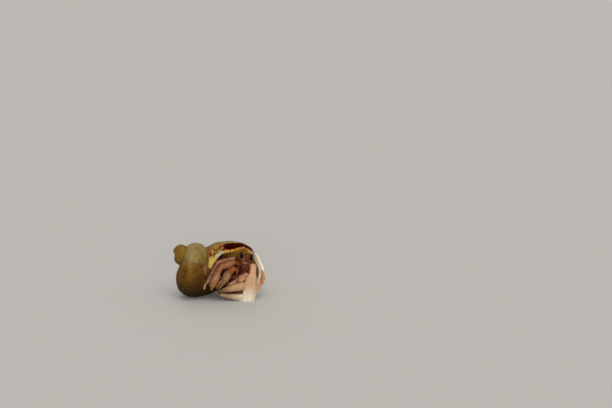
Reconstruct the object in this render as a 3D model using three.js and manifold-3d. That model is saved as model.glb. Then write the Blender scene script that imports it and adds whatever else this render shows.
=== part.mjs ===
// A small land hermit crab, half withdrawn into a worn turban shell, as a life-size still model.
// Millimetres, +Z up.  The crab faces -Y, and the spire of the shell points to -X.
import * as THREE from 'three';
import { mergeVertices } from 'three/addons/utils/BufferGeometryUtils.js';
import Module from 'manifold-3d';

const wasm = await Module();
wasm.setup();

// ---- driving dimensions -------------------------------------------------------------------
const GAP = 0.3;                    // clearance between neighbouring pieces
// The shell is one tube wound about an axis.  All of it grows by WHORL_GROWTH in each turn.
const WHORL_GROWTH = 2.65;
const SPIRE_TURNS = 2.6;
const MOUTH_RADIUS = 7.46;          // axis to the middle of the tube, at the mouth
const MOUTH_DROP = 22.93;           // apex to the middle of the tube along the axis, at the mouth
const TUBE_ACROSS = 12.18;          // half the tube's width, square to the axis
const TUBE_ALONG = 11.48;           // half the tube's height, along the axis
const TUBE_SQUARENESS = 1.88;       // 2 is an ellipse, less is more pointed
const WALL = 1.6;                   // shell wall at the mouth
const LIP_EDGE = 0.4;               // the wall is bevelled down to this at the lip
const LIP_BEVEL_TURN = 0.045;       // how far back the bevel runs
const CALLUS = 3.2;                 // extra thickness of the wall under the roof of the mouth
const CALLUS_MIDDLE = 284;          // degrees round the tube where it is thickest
const CALLUS_TURNS = 0.3;           // how far back it fades out
const PILLAR_RADIUS = 2.1;          // of the columella
const PILLAR_FULL = 13.6;           // it grows to that radius this far from the apex
const PILLAR_LENGTH = 30.5;
const PILLAR_SKIN = 0.5;            // the tube stops this near the axis, inside the columella
const LIP_SWEEP = 0.036;            // turns that the lip is set back at its far shoulder
const LIP_SWEEP_MIDDLE = 0;         // degrees round the tube where it is set back most
const LIP_SWEEP_TURNS = 0.16;       // how far back the growth lines bend with it
const SHOULDER_DROP = 1.6;          // how far the last part of the whorl draws in at its shoulder
const SHOULDER_MIDDLE = -8;         // degrees round the tube where it draws in most
const CAVITY_TURNS = 1.4;
const LENGTH_TURNS = 0.45;          // the tube is joined up from lengths of this
const WORN_TIP = 2.35;              // radius of the blunt, worn tip of the spire
const WORN_TIP_DEPTH = 3.2;         // its middle, down the axis from the apex
const SEAM = 0.3;                   // how far inside the last length each one starts
const APEX = new THREE.Vector3(-16.45, -3.71, 19.35);
const AXIS_DIP = 39.2;              // degrees that the axis dips, from the apex to the base
const AXIS_SWING = 1.7;             // degrees that the axis swings to the front
const FLOOR = 0.2;                  // the floor's height, a little up from the lowest curve of the shell
const MOUTH_TURN = 15.0;            // degrees that the mouth has turned past the top

// ---- materials ----------------------------------------------------------------------------
function paint(color, roughness) {
  return new THREE.MeshStandardMaterial({ color, roughness, metalness: 0 });
}

const SHELL_PAINT = paint('#a89a6c', 0.6);
const CLAW_PAINT = paint('#d9bfa9', 0.45);
const LEG_PAINT = paint('#b7938a', 0.5);
const BODY_PAINT = paint('#8c4a3c', 0.5);
const SOFT_PAINT = paint('#b98a78', 0.55);
const MOUTH_PAINT = paint('#6b2420', 0.45);
const STALK_PAINT = paint('#b9b0a4', 0.45);
const EYE_PAINT = paint('#0d0b0b', 0.12);

// ---- solids -------------------------------------------------------------------------------
// A closed manifold solid of a geometry, with its shared vertices merged and its faces outwards.
function solidOf(geometry) {
  const bare = new THREE.BufferGeometry();
  bare.setAttribute('position', geometry.getAttribute('position'));
  bare.setIndex(geometry.getIndex());
  const merged = mergeVertices(bare, 1e-5);
  const vertProperties = Float32Array.from(merged.getAttribute('position').array);
  const corners = Array.from(merged.getIndex().array);
  const triVerts = [];
  for (let i = 0; i < corners.length; i += 3) {
    const [a, b, c] = corners.slice(i, i + 3);
    if (a !== b && b !== c && c !== a) triVerts.push(a, b, c);
  }
  if (volumeOf(vertProperties, triVerts) < 0) triVerts.reverse();
  return new wasm.Manifold(new wasm.Mesh({
    numProp: 3, vertProperties, triVerts: Uint32Array.from(triVerts),
  }));
}

function volumeOf(positions, corners) {
  const [a, b, c] = [new THREE.Vector3(), new THREE.Vector3(), new THREE.Vector3()];
  let volume = 0;
  for (let i = 0; i < corners.length; i += 3) {
    a.fromArray(positions, 3 * corners[i]);
    b.fromArray(positions, 3 * corners[i + 1]);
    c.fromArray(positions, 3 * corners[i + 2]);
    volume += a.dot(b.cross(c)) / 6;
  }
  return volume;
}

function geometryOf(solid) {
  const mesh = solid.getMesh();
  const geometry = new THREE.BufferGeometry();
  geometry.setAttribute('position', new THREE.BufferAttribute(mesh.vertProperties, 3));
  geometry.setIndex(new THREE.BufferAttribute(mesh.triVerts, 1));
  geometry.computeVertexNormals();
  return geometry;
}

// Moves every vertex of a geometry to where `place` puts it.
function remap(geometry, place) {
  const position = geometry.getAttribute('position');
  const vertex = new THREE.Vector3();
  for (let i = 0; i < position.count; i += 1) {
    vertex.fromBufferAttribute(position, i);
    const moved = place(vertex.clone());
    position.setXYZ(i, moved.x, moved.y, moved.z);
  }
  return geometry;
}

const crab = new THREE.Group();

function add(name, geometry, material) {
  const mesh = new THREE.Mesh(geometry, material);
  mesh.name = name;
  crab.add(mesh);
  return mesh;
}

// ---- the spiral ---------------------------------------------------------------------------
const dip = THREE.MathUtils.degToRad(AXIS_DIP);
const swing = THREE.MathUtils.degToRad(AXIS_SWING);
const FRONT = new THREE.Vector3(0, -1, 0);
const level = new THREE.Vector3(Math.cos(dip), 0, -Math.sin(dip));
const AXIS = level.clone()
  .multiplyScalar(Math.cos(swing))
  .addScaledVector(FRONT, Math.sin(swing));
const AXIS_UP = new THREE.Vector3(Math.sin(dip), 0, Math.cos(dip));
const AXIS_FRONT = FRONT.clone()
  .multiplyScalar(Math.cos(swing))
  .addScaledVector(level, -Math.sin(swing));

// The lip isn't flat: at its far shoulder it is set back, and the shell near it bends to match.
function setBack(turn, angle) {
  const facing = Math.cos(angle - THREE.MathUtils.degToRad(LIP_SWEEP_MIDDLE));
  const fade = THREE.MathUtils.smoothstep(turn, -LIP_SWEEP_TURNS, 0);
  return LIP_SWEEP * THREE.MathUtils.smoothstep(facing, 0.3, 1) * fade;
}

// The last part of the whorl draws in at its shoulder, as a full-grown shell's does.
function drawnIn(turn, angle) {
  const facing = Math.cos(angle - THREE.MathUtils.degToRad(SHOULDER_MIDDLE));
  const fade = THREE.MathUtils.smoothstep(turn, -0.45, -0.05);
  return SHOULDER_DROP * THREE.MathUtils.smoothstep(facing, 0.3, 1) * fade;
}

// A point of the wound tube: `turn` is 0 at the mouth and negative towards the apex, `angle` runs
// round the section, `fill` is 0 on the tube's middle line and 1 on its wall.
function onSpiral(turn, angle, fill, inset) {
  const swept = turn - setBack(turn, angle);
  const growth = WHORL_GROWTH ** swept;
  const round = (value) => Math.sign(value) * Math.abs(value) ** (2 / TUBE_SQUARENESS);
  const inwards = inset + drawnIn(turn, angle);
  const across = MOUTH_RADIUS + fill * (TUBE_ACROSS - inwards) * round(Math.cos(angle));
  const along = MOUTH_DROP + fill * (TUBE_ALONG - inwards) * round(Math.sin(angle));
  const radius = growth * Math.max(across, PILLAR_SKIN);
  const heading = 2 * Math.PI * swept + THREE.MathUtils.degToRad(MOUTH_TURN);
  return APEX.clone()
    .addScaledVector(AXIS, growth * along)
    .addScaledVector(AXIS_UP, radius * Math.cos(heading))
    .addScaledVector(AXIS_FRONT, radius * Math.sin(heading));
}

// One length of the wound tube.  `inset(part, turn, angle)` is how far in from the outer surface it
// runs, with `part` going from 0 to 1 along the length.
function tube(from, to, steps, sides, inset) {
  const geometry = new THREE.CylinderGeometry(1, 1, 1, sides, steps);
  return solidOf(remap(geometry, (p) => {
    const part = p.y + 0.5;
    const turn = THREE.MathUtils.lerp(from, to, part);
    const angle = Math.atan2(p.z, p.x);
    return onSpiral(turn, angle, Math.hypot(p.x, p.z), inset(part, turn, angle));
  }));
}

// A long tube would cross itself, so it is joined up from lengths.  Each starts inside the one before.
function woundTube(turns, sidesAt, insetAt) {
  let whole = null;
  for (let to = 0; to > -turns; to -= LENGTH_TURNS) {
    const from = Math.max(to - LENGTH_TURNS, -turns);
    const sides = sidesAt(to);
    const steps = Math.ceil((to - from) * sides);
    const seam = (to - from) / steps / 2;
    const inset = (part, turn, angle) => insetAt(turn, angle) + (part ? 0 : SEAM);
    const length = tube(from - seam, to, steps, sides, inset);
    whole = whole ? whole.add(length) : length;
  }
  return whole;
}

// Everything below the floor, which trims small flats on what the model rests on.
const BELOW_FLOOR = solidOf(new THREE.BoxGeometry(100, 100, 10).translate(0, 0, FLOOR - 5));

// ---- the shell ----------------------------------------------------------------------------
// The columella: a cone round the axis, then a post with a round foot.
function pillar() {
  const shoulder = PILLAR_LENGTH - PILLAR_RADIUS;
  const profile = [new THREE.Vector2(0, WORN_TIP_DEPTH)];
  profile.push(new THREE.Vector2(PILLAR_RADIUS, PILLAR_FULL));
  for (const lean of [0, Math.PI / 6, Math.PI / 3]) {
    profile.push(new THREE.Vector2(Math.cos(lean), Math.sin(lean)).multiplyScalar(PILLAR_RADIUS));
    profile.at(-1).y += shoulder;
  }
  profile.push(new THREE.Vector2(0, PILLAR_LENGTH));
  const upright = new THREE.Vector3(0, 1, 0);
  const turn = new THREE.Quaternion().setFromUnitVectors(upright, AXIS);
  const geometry = new THREE.LatheGeometry(profile, 12).applyQuaternion(turn);
  return solidOf(geometry.translate(APEX.x, APEX.y, APEX.z));
}

// The worn, blunt tip of the spire.
function wornTip() {
  const geometry = new THREE.SphereGeometry(WORN_TIP, 10, 8);
  const middle = APEX.clone().addScaledVector(AXIS, WORN_TIP_DEPTH);
  return solidOf(geometry.translate(middle.x, middle.y, middle.z));
}

// How thick the wall is at a place on the winding.  A callus thickens it under the roof of the mouth.
function wallAt(turn, angle) {
  const facing = Math.cos(angle - THREE.MathUtils.degToRad(CALLUS_MIDDLE));
  const fade = THREE.MathUtils.smoothstep(turn, -CALLUS_TURNS, 0);
  return WALL + CALLUS * THREE.MathUtils.smoothstep(facing, 0.1, 0.9) * fade;
}

// The wall's thickness along the bevel: full at its back, and the lip's edge from the mouth on.
function bevelAt(part, turn, angle) {
  const toEdge = Math.min(1, 2 * part);
  return THREE.MathUtils.lerp(wallAt(-LIP_BEVEL_TURN, angle), LIP_EDGE, toEdge);
}

function shell() {
  const outside = woundTube(SPIRE_TURNS, (turn) => (turn > -1 ? 22 : 14), () => 0);
  const cavity = woundTube(CAVITY_TURNS, () => 18, wallAt)
    .add(tube(-LIP_BEVEL_TURN, LIP_BEVEL_TURN, 2, 22, bevelAt));
  const whole = outside.subtract(cavity).add(pillar()).add(wornTip()).subtract(BELOW_FLOOR);
  add('shell', geometryOf(whole), SHELL_PAINT);
}

shell();

// ---- the crab's pieces --------------------------------------------------------------------
const at = ([x, y, z]) => new THREE.Vector3(x, y, z);

// A round-ended piece from one point to another.  `thick` and `deep` are its full widths, `end` is
// how wide its far end is beside its near end, and `sag` bows its middle towards `side`.
function lump(from, to, form) {
  const { thick, deep = thick, end = 1, blunt = 0.6, sag = 0, side = FRONT } = form;
  const { sides = 8, rings = 6 } = form;
  const along = to.clone().sub(from);
  const length = along.length();
  along.normalize();
  const out = side.clone().addScaledVector(along, -side.dot(along)).normalize();
  const across = new THREE.Vector3().crossVectors(along, out);
  const geometry = new THREE.SphereGeometry(1, sides, rings);
  return remap(geometry, (p) => {
    const part = (p.y + 1) / 2;
    const ring = Math.hypot(p.x, p.z);
    const swell = ring > 1e-6 ? (ring ** blunt / ring / 2) * THREE.MathUtils.lerp(1, end, part) : 0;
    return from.clone()
      .addScaledVector(along, part * length)
      .addScaledVector(across, p.x * swell * thick)
      .addScaledVector(out, p.z * swell * deep + sag * Math.sin(Math.PI * part));
  });
}

// Everything from half a gap before a point onwards: what is cut off a piece at its joint.
function past(point, direction) {
  const reach = 12;
  const turn = new THREE.Quaternion().setFromUnitVectors(new THREE.Vector3(0, 1, 0), direction);
  const middle = point.clone().addScaledVector(direction, reach / 2 - GAP / 2);
  const block = new THREE.BoxGeometry(reach, reach, reach).applyQuaternion(turn);
  return solidOf(block.translate(middle.x, middle.y, middle.z));
}

// A jointed limb.  `joints` runs from the body to the tip and `pieces` names what lies between:
// each is cut at its joints on the plane halfway between its own direction and the next one's.
function limb(prefix, joints, pieces, material) {
  const points = joints.map(at);
  const heading = (i) => points[i + 1].clone().sub(points[i]).normalize();
  pieces.forEach((piece, i) => {
    const direction = heading(i);
    const overrun = piece.thick * 0.35;
    const isLast = i === pieces.length - 1;
    const from = points[i].clone().addScaledVector(direction, i ? -overrun : 0);
    const to = points[i + 1].clone().addScaledVector(direction, isLast ? 0 : overrun);
    let solid = solidOf(lump(from, to, piece));
    if (i) {
      const hinge = heading(i - 1).add(direction).normalize();
      solid = solid.subtract(past(points[i], hinge.negate()));
    }
    if (!isLast) {
      const hinge = heading(i + 1).add(direction).normalize();
      solid = solid.subtract(past(points[i + 1], hinge));
    }
    if (piece.shape) solid = piece.shape(solid);
    add(`${prefix}_${piece.name}`, geometryOf(solid), material);
  });
}

// A walking leg tapers to a curved claw.  The propodus, next to the claw, is the widest length.
const UP = new THREE.Vector3(0, 0, 1);

function walkingLeg(prefix, thick, hand, joints) {
  limb(prefix, joints, [
    { name: 'merus', thick, deep: thick * 1.2, side: UP },
    { name: 'carpus', thick: thick * 1.05, deep: thick * 1.2, side: UP },
    { name: 'propodus', thick: hand, deep: hand * 1.1, end: 0.8, side: UP },
    { name: 'dactyl', thick: hand * 0.75, end: 0.3, blunt: 0.7, sag: 0.25, side: UP },
  ], LEG_PAINT);
}

// Each list runs from the body to the knee, the wrist, the ankle and the tip.
function walkingLegs() {
  walkingLeg('right_rear_leg', 1.5, 2.0,
    [[6.0, -3.4, 14.8], [-0.4, -6.6, 13.9], [-2.0, -7.8, 11.4], [-4.2, -9.6, 7.3], [-5.3, -9.2, 3.9]]);
  walkingLeg('right_front_leg', 2.2, 3.0,
    [[6.0, -6.0, 14.0], [0.4, -9.0, 12.7], [-0.6, -10.2, 10.5], [-2.2, -11.2, 6.4], [-2.5, -10.8, 4.3]]);
  walkingLeg('left_front_leg', 2.2, 2.8,
    [[11.3, -2.4, 9.9], [11.0, -4.9, 10.7], [10.2, -6.2, 9.5], [6.7, -6.7, 6.9], [2.2, -8.0, 4.9]]);
  walkingLeg('left_rear_leg', 1.5, 1.5,
    [[10.6, -1.2, 8.0], [11.8, -3.4, 7.8], [11.3, -4.5, 6.3], [8.6, -5.0, 4.9], [5.4, -5.4, 4.6]]);
}

// A pincer's fixed finger is one piece with the palm.  The moving finger sits in a socket in it.
function pincer(fixedFinger, movingFinger) {
  const { line, form } = movingFinger;
  const [from, to] = line.map(at);
  const room = to.clone().sub(from).setLength(2 * GAP);
  const wide = { thick: form.thick + 2 * GAP, deep: form.deep + 2 * GAP };
  const socket = lump(from.sub(room), to.add(room), { ...form, ...wide });
  const finger = solidOf(lump(...fixedFinger.line.map(at), fixedFinger.form));
  return (palm) => palm.add(finger).subtract(solidOf(socket)).subtract(BELOW_FLOOR);
}

function claw(prefix, joints, pieces, fixedFinger, movingFinger) {
  pieces.at(-1).shape = pincer(fixedFinger, movingFinger);
  limb(prefix, joints, pieces, CLAW_PAINT);
  const [from, to] = movingFinger.line.map(at);
  add(`${prefix}_finger`, geometryOf(solidOf(lump(from, to, movingFinger.form))), CLAW_PAINT);
}

// The left claw is the large one: its palm closes the mouth and rests on the floor.
function claws() {
  claw('left_claw', [[12.9, -3.6, 11.6], [12.5, -6.4, 12.6], [12.3, -8.2, 8.8], [10.4, -8.5, -0.8]], [
    { name: 'merus', thick: 1.9 },
    { name: 'carpus', thick: 2.3 },
    { name: 'palm', thick: 4.3, deep: 3.6, end: 1.35, blunt: 0.5, sides: 12, rings: 8 },
  ], {
    line: [[11.0, -8.6, 1.8], [-1.2, -9.8, 2.9]],
    form: { thick: 3.4, deep: 4.0, end: 0.2, sides: 10, sag: -0.4, side: UP },
  }, {
    line: [[11.0, -8.9, 6.0], [-0.6, -9.9, 3.7]],
    form: { thick: 2.7, deep: 4.0, end: 0.3, sides: 10, sag: 0.2, side: UP },
  });
  claw('right_claw', [[6.9, -6.9, 11.0], [5.2, -8.5, 12.1], [3.8, -10.4, 11.0], [1.5, -11.8, 7.3]], [
    { name: 'merus', thick: 1.4, side: UP },
    { name: 'carpus', thick: 2.5, side: UP },
    { name: 'palm', thick: 3.2, deep: 2.8, blunt: 0.5, side: UP, sides: 10 },
  ], {
    line: [[2.6, -11.4, 8.6], [-0.2, -12.1, 4.8]],
    form: { thick: 1.8, deep: 1.8, end: 0.3, side: UP },
  }, {
    line: [[1.2, -11.7, 8.3], [-0.8, -12.2, 4.9]],
    form: { thick: 1.4, deep: 1.4, end: 0.35, sag: 0.3, side: new THREE.Vector3(-1, 0, 0) },
  });
}

// A single piece of the crab, from one point to another.
function piece(name, from, to, form, material) {
  add(name, lump(at(from), at(to), form), material);
}

function head() {
  const shield = { thick: 4.8, deep: 3.9, side: UP, sides: 12 };
  piece('shield', [9.8, -6.1, 14.0], [7.8, -0.6, 14.0], shield, BODY_PAINT);
  const snout = { thick: 3.5, deep: 2.5, side: UP };
  piece('mouth', [8.6, -5.8, 10.8], [7.2, -1.0, 10.5], snout, MOUTH_PAINT);
  const legBases = { thick: 5, deep: 4.4, side: UP, blunt: 0.5 };
  piece('leg_bases', [8.5, -3.1, 6.9], [2.2, -2.8, 8.3], legBases, MOUTH_PAINT);
  const hindPart = { thick: 4, deep: 3.8, side: UP };
  piece('rear_carapace', [7.0, 1.0, 12.0], [2.9, 0.6, 11.2], hindPart, SOFT_PAINT);
  piece('right_eyestalk', [8.95, -6.7, 13.7], [8.45, -7.15, 15.2], { thick: 0.9 }, STALK_PAINT);
  piece('left_eyestalk', [10.7, -6.6, 13.5], [11.65, -7.2, 14.4], { thick: 0.9 }, STALK_PAINT);
  piece('right_eye', [8.4, -7.2, 15.5], [8.2, -7.3, 17.9], { thick: 1.15 }, EYE_PAINT);
  piece('left_eye', [11.75, -7.3, 14.65], [12.0, -7.3, 17.2], { thick: 1.15 }, EYE_PAINT);
}

// The feelers and the outer mouthparts, which hang in front of the mouth.
function feelers() {
  const whip = { thick: 0.55, blunt: 0.3, sag: 0.3 };
  piece('right_antennule', [9.3, -6.9, 12.7], [8.9, -8.0, 11.2], { thick: 0.6 }, MOUTH_PAINT);
  piece('left_antennule', [10.1, -6.9, 12.7], [10.0, -8.0, 11.1], { thick: 0.6 }, MOUTH_PAINT);
  piece('right_antenna_base', [8.0, -6.9, 13.0], [7.1, -8.2, 12.8], { thick: 0.8 }, BODY_PAINT);
  piece('right_antenna', [6.9, -8.6, 12.5], [6.2, -8.9, 8.8], whip, BODY_PAINT);
  piece('left_antenna_base', [10.8, -6.9, 12.7], [11.0, -8.2, 12.3], { thick: 0.8 }, BODY_PAINT);
  piece('left_antenna', [10.8, -8.6, 11.9], [8.2, -8.8, 9.8], whip, BODY_PAINT);
  piece('right_mouthpart', [8.2, -6.8, 12.1], [7.4, -7.3, 10.2], { thick: 0.8 }, MOUTH_PAINT);
  piece('left_mouthpart', [9.5, -6.6, 12.0], [9.4, -7.1, 10.9], { thick: 0.8 }, MOUTH_PAINT);
}

// A piece of the soft abdomen, which lies along the middle of the wound tube.
function coil(name, from, to, fat) {
  const geometry = new THREE.SphereGeometry(1, 10, 8);
  add(name, remap(geometry, (p) => {
    const turn = THREE.MathUtils.lerp(from, to, (1 - p.y) / 2);
    return onSpiral(turn, Math.atan2(p.z, p.x), fat * Math.hypot(p.x, p.z) ** 0.6, 0);
  }), SOFT_PAINT);
}

function abdomen() {
  coil('abdomen_front', -0.17, -0.36, 0.38);
  coil('abdomen_middle', -0.375, -0.56, 0.33);
  coil('abdomen_rear', -0.575, -0.76, 0.27);
  coil('tail_fan', -0.775, -0.83, 0.22);
}

// The small fourth and fifth legs brace the crab against the wall of the shell.
function bracingLegs() {
  piece('right_fourth_leg', [5.6, -2.9, 11.6], [2.8, -3.6, 13.0], { thick: 0.9, end: 0.7 }, LEG_PAINT);
  piece('left_fourth_leg', [9.6, 0.4, 11.2], [9.4, 2.0, 8.8], { thick: 0.9, end: 0.7 }, LEG_PAINT);
  piece('right_fifth_leg', [4.8, -0.8, 13.9], [2.2, 0.8, 13.9], { thick: 0.7, end: 0.7 }, LEG_PAINT);
  piece('left_fifth_leg', [8.4, 1.2, 14.2], [7.0, 3.2, 14.6], { thick: 0.7, end: 0.7 }, LEG_PAINT);
}

claws();
walkingLegs();
head();
feelers();
abdomen();
bracingLegs();

// The origin is under the middle of the model, on the floor.
const model = new THREE.Group();
model.add(crab);
const box = new THREE.Box3().setFromObject(crab);
const middle = box.getCenter(new THREE.Vector3());
crab.position.set(-middle.x, -middle.y, -box.min.z);

export default model;
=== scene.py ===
# %% [markdown]
# # A land hermit crab, half drawn into a worn turban shell
#
# The solids of this model were made first, in millimetres, and are loaded here as a fixed frame that
# every finished piece is built round.  The whole is about 33 mm long.  Its forms are few, and most
# of its character is in the surface: the worn shell, the banded lip, the eyes and the granules.

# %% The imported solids
import math
import random

import bmesh
import bpy
import numpy as np
from mathutils import Matrix, Vector, noise


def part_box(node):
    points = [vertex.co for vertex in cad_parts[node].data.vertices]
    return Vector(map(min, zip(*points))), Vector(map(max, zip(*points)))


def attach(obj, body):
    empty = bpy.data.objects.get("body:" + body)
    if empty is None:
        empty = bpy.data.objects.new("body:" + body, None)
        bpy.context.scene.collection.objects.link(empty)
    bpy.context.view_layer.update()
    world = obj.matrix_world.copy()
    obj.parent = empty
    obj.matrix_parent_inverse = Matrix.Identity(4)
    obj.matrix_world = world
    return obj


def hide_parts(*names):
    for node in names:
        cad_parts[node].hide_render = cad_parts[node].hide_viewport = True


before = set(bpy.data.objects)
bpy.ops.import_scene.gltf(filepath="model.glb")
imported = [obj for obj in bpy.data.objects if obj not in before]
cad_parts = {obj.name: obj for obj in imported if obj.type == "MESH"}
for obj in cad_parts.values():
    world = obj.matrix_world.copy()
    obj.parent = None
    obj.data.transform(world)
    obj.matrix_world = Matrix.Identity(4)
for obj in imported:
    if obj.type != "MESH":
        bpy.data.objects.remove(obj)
scene = bpy.context.scene
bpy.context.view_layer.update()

# %% [markdown]
# The drawing of the solids has its own origin.  Packing moved it to the floor under the model's
# middle.  `set_down` makes that same move and turns millimetres into metres, so each piece is built
# at the drawing's own numbers and then set down in place.  Lengths are in millimetres throughout,
# unless they say otherwise.

# %% From the drawing to the frame
MM = 0.001
DRAWN_ORIGIN = Vector((-0.216, 1.505, -0.2))
INTO_FRAME = Matrix.Scale(MM, 4) @ Matrix.Translation(DRAWN_ORIGIN)
EYE_DRAWN_AT = Vector((8.3, -7.25, 16.7))
FLOOR = 0.2                     # the height of the floor in the drawing


def in_scene(name, data):
    """A new object in the scene."""
    made = bpy.data.objects.new(name, data)
    scene.collection.objects.link(made)
    return made


def mesh_of(bm, name):
    """A bmesh turned into a mesh, and freed."""
    mesh = bpy.data.meshes.new(name)
    bm.to_mesh(mesh)
    bm.free()
    return mesh


def set_down(bm, name):
    """Turns a bmesh drawn in millimetres into a finished object in the frame."""
    mesh = mesh_of(bm, name)
    mesh.transform(INTO_FRAME)
    return in_scene(name, mesh)


def points_of(bm):
    return np.array([vert.co for vert in bm.verts])


def stop_at_floor(bm):
    """Lifts whatever lies under the floor up to it."""
    for vert in bm.verts:
        vert.co.z = max(vert.co.z, FLOOR)


def smooth_faces(bm):
    for facet in bm.faces:
        facet.smooth = True


def store(piece, **named):
    """Keeps a number, or three numbers, for every point of a piece, under each name."""
    for name, values in named.items():
        kind, field = ("FLOAT_VECTOR", "vector") if values.ndim == 2 else ("FLOAT", "value")
        layer = piece.data.attributes.new(name, kind, "POINT")
        layer.data.foreach_set(field, values.astype(np.float32).ravel())


eye_low, eye_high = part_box("right_eye")
print("right eye in the frame, mm:", [round(x / MM, 2) for x in (eye_low + eye_high) / 2])
print("right eye as drawn, mm:", list(EYE_DRAWN_AT + DRAWN_ORIGIN))

# %% [markdown]
# A crab this small is seen from a little above and far back, through a long lens, so its near and
# far parts keep almost the same scale.

# %% Camera
LENS, LENS_FRAME = 200, 36      # mm
LOOK_DOWN = 12                  # degrees
CAMERA_DRAWN_AT = Vector((31.5, -1202, 289.5))

optics = bpy.data.cameras.new("camera")
optics.lens = LENS
optics.sensor_width = LENS_FRAME
optics.clip_start, optics.clip_end = 0.05, 60               # metres
camera = in_scene("camera", optics)
camera.location = INTO_FRAME @ CAMERA_DRAWN_AT
camera.rotation_euler = (math.radians(90 - LOOK_DOWN), 0, 0)
scene.camera = camera
print("camera stands", round(camera.location.z, 3), "m above the floor")

# %% [markdown]
# Materials are small networks of nodes, and these helpers keep each network short.  Patterns and
# heights in them read places in metres, so a scale of 1000 has one detail in each millimetre.

# %% Helpers for materials
def dye(code):
    """A colour from a chart, such as '#c8a070', as the renderer's linear numbers."""
    channels = [int(code[i:i + 2], 16) / 255 for i in (1, 3, 5)]
    return [((c + 0.055) / 1.055) ** 2.4 if c > 0.04045 else c / 12.92 for c in channels] + [1]


def join(tree, socket, value):
    if isinstance(value, bpy.types.NodeSocket):
        tree.links.new(value, socket)
    else:
        socket.default_value = value


def add(tree, kind, inputs=None, **settings):
    """A new node of a kind, with its settings and with its sockets set or joined."""
    node = tree.nodes.new("ShaderNode" + kind)
    for key, value in settings.items():
        setattr(node, key, value)
    for key, value in (inputs or {}).items():
        join(tree, node.inputs[key], value)
    return node


def blend(tree, share, first, second, way="MIX"):
    """Two colours mixed, by a share from 0 to 1."""
    node = add(tree, "Mix", data_type="RGBA", blend_type=way)
    for index, value in ((0, share), (6, first), (7, second)):
        join(tree, node.inputs[index], dye(value) if isinstance(value, str) else value)
    return node.outputs[2]


def mask(tree, value, low, high):
    """0 at low, 1 at high, and smooth between them."""
    node = add(tree, "MapRange", {"Value": value, "From Min": low, "From Max": high})
    node.interpolation_type = "SMOOTHSTEP"
    return node.outputs["Result"]


def maths(tree, operation, first, second=0.0, third=0.0):
    node = add(tree, "Math", operation=operation)
    for index, value in enumerate((first, second, third)):
        join(tree, node.inputs[index], value)
    return node.outputs[0]


def coats(tree, colour, *layers):
    """Lays coats over a colour.  Each is a mask from 0 to 1, how strong the coat is, and its colour."""
    for share, strength, over in layers:
        if strength < 1:
            share = maths(tree, "MULTIPLY", share, strength)
        colour = blend(tree, share, colour, over)
    return colour


def mottle(tree, coordinates, scale, stretch=(1, 1, 1), detail=3.0):
    """Cloudy noise on the given coordinates, from 0 to 1."""
    placed = add(tree, "Mapping", {"Vector": coordinates, "Scale": stretch})
    inputs = {"Vector": placed.outputs[0], "Scale": scale, "Detail": detail, "Roughness": 0.55}
    return add(tree, "TexNoise", inputs).outputs["Fac"]


def attribute(tree, name):
    return add(tree, "Attribute", attribute_name=name)


def start_material(name, **values):
    """A new material with the shader's plain values set: material, tree, shader, place on the object."""
    material = bpy.data.materials.new(name)
    material.use_nodes = True
    tree = material.node_tree
    shader = tree.nodes["Principled BSDF"]
    for key, value in values.items():
        shader.inputs[key.replace("_", " ")].default_value = value
    return material, tree, shader, add(tree, "TexCoord").outputs["Object"]


def finish_material(tree, shader, colour, roughness, height, strength, reach):
    """Joins a material's colour, roughness and relief, which reaches so many mm, to its shader."""
    join(tree, shader.inputs["Base Color"], colour)
    join(tree, shader.inputs["Roughness"], roughness)
    bump = add(tree, "Bump", {"Height": height, "Strength": strength, "Distance": reach * MM})
    join(tree, shader.inputs["Normal"], bump.outputs["Normal"])


print("helpers for materials are ready")

# %% [markdown]
# A turban shell is one tube wound about an axis, and it grows by the same share in every turn.
# Only the last part departs from that rule, as in a full-grown shell: its far shoulder draws in, and
# the lip there is set back.  The same functions shaped the solid.  A place on the shell is a turn,
# 0 at the mouth and less towards the apex, and an angle round the tube's section.

# %% The winding of the shell
WHORL_GROWTH = 2.65
SPIRE_TURNS = 2.6
MOUTH_RADIUS, MOUTH_DROP = 7.46, 22.93
TUBE_ACROSS, TUBE_ALONG, TUBE_SQUARENESS = 12.18, 11.48, 1.88
PILLAR_SKIN = 0.5
LIP_SWEEP, LIP_SWEEP_TURNS = 0.036, 0.16
SHOULDER_DROP, SHOULDER_MIDDLE, SHOULDER_TURNS = 1.6, math.radians(-8), (-0.45, -0.05)
APEX = Vector((-16.45, -3.71, 19.35))
DIP, SWING, MOUTH_TURN = (math.radians(x) for x in (39.2, 1.7, 15.0))
FRONT = Vector((0, -1, 0))
LEVEL = Vector((math.cos(DIP), 0, -math.sin(DIP)))
AXIS = LEVEL * math.cos(SWING) + FRONT * math.sin(SWING)
AXIS_UP = Vector((math.sin(DIP), 0, math.cos(DIP)))
AXIS_FRONT = FRONT * math.cos(SWING) - LEVEL * math.sin(SWING)


def smoothly(value, low, high):
    """0 at low, 1 at high, and smooth between them, for a number or an array."""
    share = np.clip((value - low) / (high - low), 0, 1)
    return share * share * (3 - 2 * share)


def towards(middle, angle, low=0.3, high=1):
    """1 at one middle angle round the tube, and 0 away from it: low and high are cosines."""
    return smoothly(np.cos(angle - middle), low, high)


def set_back(turn, angle):
    return LIP_SWEEP * towards(0, angle) * smoothly(turn, -LIP_SWEEP_TURNS, 0)


def drawn_in(turn, angle):
    return SHOULDER_DROP * towards(SHOULDER_MIDDLE, angle) * smoothly(turn, *SHOULDER_TURNS)


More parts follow.
